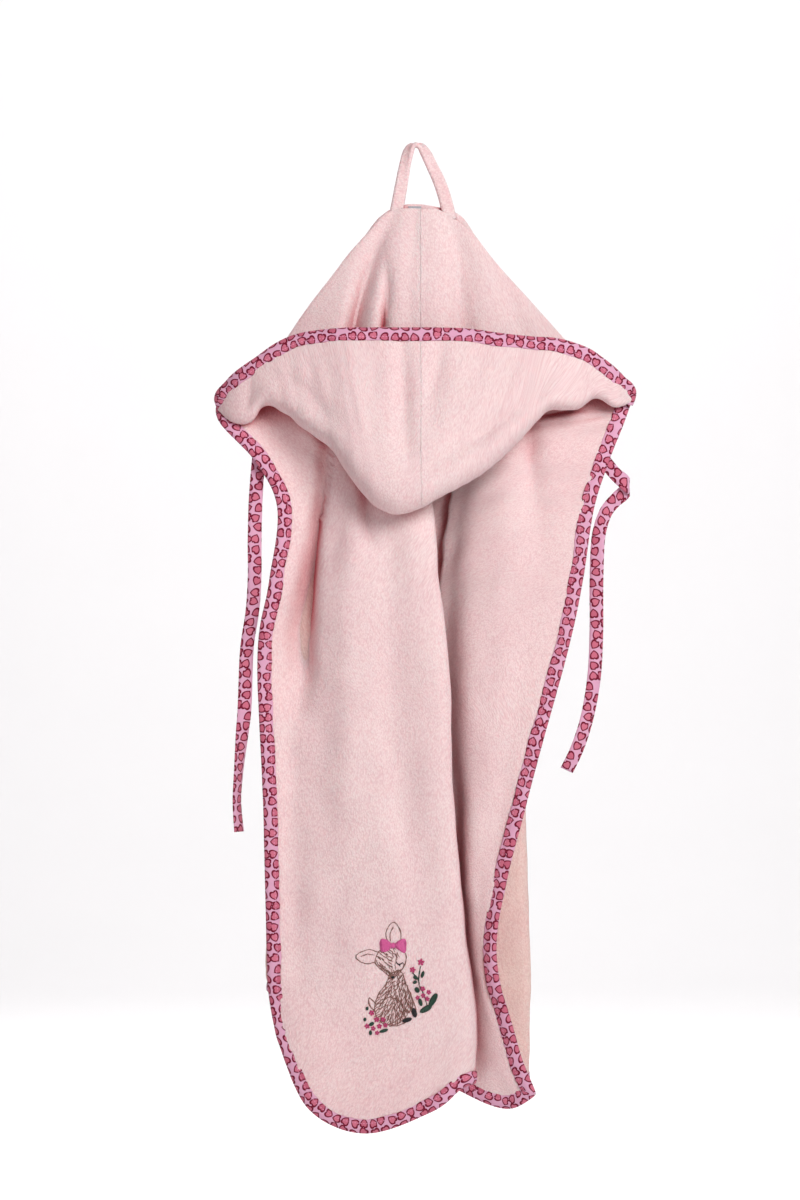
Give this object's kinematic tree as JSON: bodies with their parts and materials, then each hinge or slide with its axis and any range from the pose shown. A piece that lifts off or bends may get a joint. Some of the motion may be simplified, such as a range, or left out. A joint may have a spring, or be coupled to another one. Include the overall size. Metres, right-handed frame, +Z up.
{
  "type": "hooded baby towel",
  "caption": "Terry cape towel for a baby with a two-panel hood, printed binding round every edge, two neck ties and a nape loop, draped as it hangs from a peg.",
  "frame": {"origin": "where the inside of the hanging loop's top bears on the peg that it hangs from", "axes": "+Z up, +Y towards the wall behind the towel, so the embroidered outside faces -Y; +X to the viewer's right"},
  "size_m": [0.3803, 0.1206, 0.8949],
  "materials": {
    "terry": "pale pink cotton terry with an uncut looped pile on both faces",
    "printed_cotton": "smooth plain-weave cotton tape, lilac pink with small outlined hearts in darker pink",
    "label_satin": "blank grey woven satin label",
    "brown_thread": "slightly shiny brown-grey embroidery thread",
    "pink_thread": "shiny rose pink embroidery thread",
    "magenta_thread": "shiny magenta embroidery thread",
    "green_thread": "shiny dark green embroidery thread",
    "black_thread": "shiny black embroidery thread"
  },
  "bodies": {
    "hanging_loop": {"hanging_loop": "terry"},
    "towel": {"body_panel": "terry", "hood_left_panel_back": "terry", "hood_right_panel_back": "terry", "body_edge_binding": "printed_cotton", "care_label": "label_satin", "fawn_embroidery": "brown_thread", "bow_embroidery": "pink_thread", "flower_embroidery": "magenta_thread", "leaf_embroidery": "green_thread", "hoof_embroidery": "black_thread"},
    "hood_front": {"hood_left_panel_front": "terry", "hood_right_panel_front": "terry", "hood_edge_binding": "printed_cotton"},
    "left_tie": {"left_tie": "printed_cotton"},
    "right_tie": {"right_tie": "printed_cotton"}
  },
  "joints": [
    {"name": "towel_swing", "type": "hinge", "parent": "hanging_loop", "child": "towel", "pos_m": [0, 0, -0.053], "axis": [-1, 0, 0], "range_deg": [0, 30]},
    {"name": "hood_opening", "type": "hinge", "parent": "towel", "child": "hood_front", "pos_m": [0, -0.08, -0.336], "axis": [1, 0, 0], "range_deg": [0, 25]},
    {"name": "left_tie_swing", "type": "hinge", "parent": "towel", "child": "left_tie", "pos_m": [-0.142, -0.0095, -0.283], "axis": [0, 1, 0], "range_deg": [0, 75]},
    {"name": "right_tie_swing", "type": "hinge", "parent": "towel", "child": "right_tie", "pos_m": [0.168, -0.001, -0.28], "axis": [0, -1, 0], "range_deg": [0, 75]}
  ]
}
